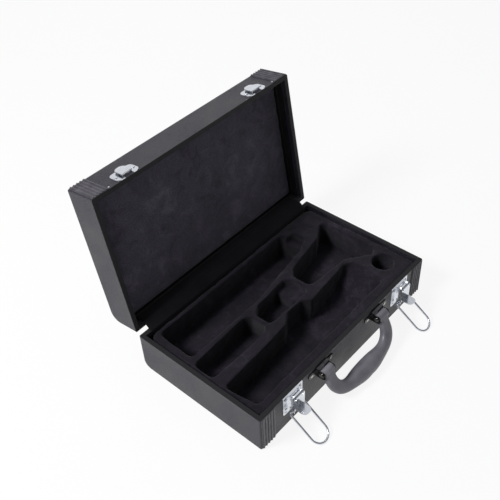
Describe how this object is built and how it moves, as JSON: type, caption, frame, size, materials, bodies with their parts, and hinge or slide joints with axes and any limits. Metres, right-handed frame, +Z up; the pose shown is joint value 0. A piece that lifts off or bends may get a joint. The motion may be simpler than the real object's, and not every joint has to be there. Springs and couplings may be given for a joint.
{
  "type": "clarinet case",
  "caption": "Hard case for a clarinet, lid open: covered timber shell, flocked insert with shaped pockets, lever latches with wire bails, and a swinging handle.",
  "frame": {"origin": "centre of the case's underside, on the surface it stands on", "axes": "+X along the case, -Y towards the handle and latches, +Z up"},
  "size_m": [0.3598, 0.3519, 0.2772],
  "materials": {
    "plywood": "dyed black under the covering",
    "grained_vinyl": "satin leather grain",
    "flocked_foam": "short flock on moulded foam",
    "plush_cloth": "short plush",
    "hinge_cloth": "plain dark cloth",
    "ribbed_vinyl": "satin ribs",
    "moulded_handle": "satin grain",
    "nickel_plated_steel": "bright nickel",
    "chromed_steel": "bright chrome"
  },
  "bodies": {
    "base": {"base_bottom_cover": "grained_vinyl", "base_corner_patch_left": "ribbed_vinyl", "base_corner_patch_right": "ribbed_vinyl", "base_covering": "grained_vinyl", "base_floor_board": "plywood", "base_frame": "plywood", "handle_bracket_left": "nickel_plated_steel", "handle_bracket_right": "nickel_plated_steel", "handle_pin_left": "nickel_plated_steel", "handle_pin_right": "nickel_plated_steel", "handle_rivets_left": "nickel_plated_steel", "handle_rivets_right": "nickel_plated_steel", "hinge_base_leaf_left": "nickel_plated_steel", "hinge_base_leaf_right": "nickel_plated_steel", "hinge_base_screws_left": "nickel_plated_steel", "hinge_base_screws_right": "nickel_plated_steel", "hinge_pin_left": "nickel_plated_steel", "hinge_pin_right": "nickel_plated_steel", "inner_hinge_strip": "hinge_cloth", "insert_foam": "flocked_foam", "latch_pivot_pin_left": "chromed_steel", "latch_pivot_pin_right": "chromed_steel", "latch_plate_left": "chromed_steel", "latch_plate_right": "chromed_steel", "latch_rivets_left": "chromed_steel", "latch_rivets_right": "chromed_steel"},
    "lid": {"catch_left": "chromed_steel", "catch_right": "chromed_steel", "catch_rivets_left": "chromed_steel", "catch_rivets_right": "chromed_steel", "hinge_lid_leaf_left": "nickel_plated_steel", "hinge_lid_leaf_right": "nickel_plated_steel", "hinge_lid_screws_left": "nickel_plated_steel", "hinge_lid_screws_right": "nickel_plated_steel", "lid_corner_patch_left": "ribbed_vinyl", "lid_corner_patch_right": "ribbed_vinyl", "lid_covering": "grained_vinyl", "lid_frame": "plywood", "lid_pad": "plush_cloth", "lid_rim_studs": "chromed_steel", "lid_top_board": "plywood", "lid_wall_lining": "plush_cloth"},
    "lever_left": {"latch_lever_left": "chromed_steel"},
    "lever_right": {"latch_lever_right": "chromed_steel"},
    "bail_left": {"latch_bail_left": "chromed_steel"},
    "bail_right": {"latch_bail_right": "chromed_steel"},
    "handle": {"handle_grip": "moulded_handle"}
  },
  "joints": [
    {"name": "lid_hinge", "type": "hinge", "parent": "base", "child": "lid", "pos_m": [0, 0.1095, 0.06125], "axis": [1, 0, 0], "range_deg": [0, 99], "deforming": ["inner_hinge_strip"]},
    {"name": "left_lever_pivot", "type": "hinge", "parent": "base", "child": "lever_left", "pos_m": [-0.1189, -0.1139, 0.0565], "axis": [1, 0, 0], "range_deg": [-95, 0]},
    {"name": "left_bail_pivot", "type": "hinge", "parent": "lever_left", "child": "bail_left", "pos_m": [-0.1189, -0.1134, 0.032], "axis": [-1, 0, 0], "range_deg": [-64.63, 128.22]},
    {"name": "right_lever_pivot", "type": "hinge", "parent": "base", "child": "lever_right", "pos_m": [0.1189, -0.1139, 0.0565], "axis": [1, 0, 0], "range_deg": [-95, 0]},
    {"name": "right_bail_pivot", "type": "hinge", "parent": "lever_right", "child": "bail_right", "pos_m": [0.1189, -0.1134, 0.032], "axis": [-1, 0, 0], "range_deg": [-64.63, 128.22]},
    {"name": "handle_pivot", "type": "hinge", "parent": "base", "child": "handle", "pos_m": [0, -0.1159, 0.0495], "axis": [-1, 0, 0], "range_deg": [-25.05, 67.33]}
  ]
}
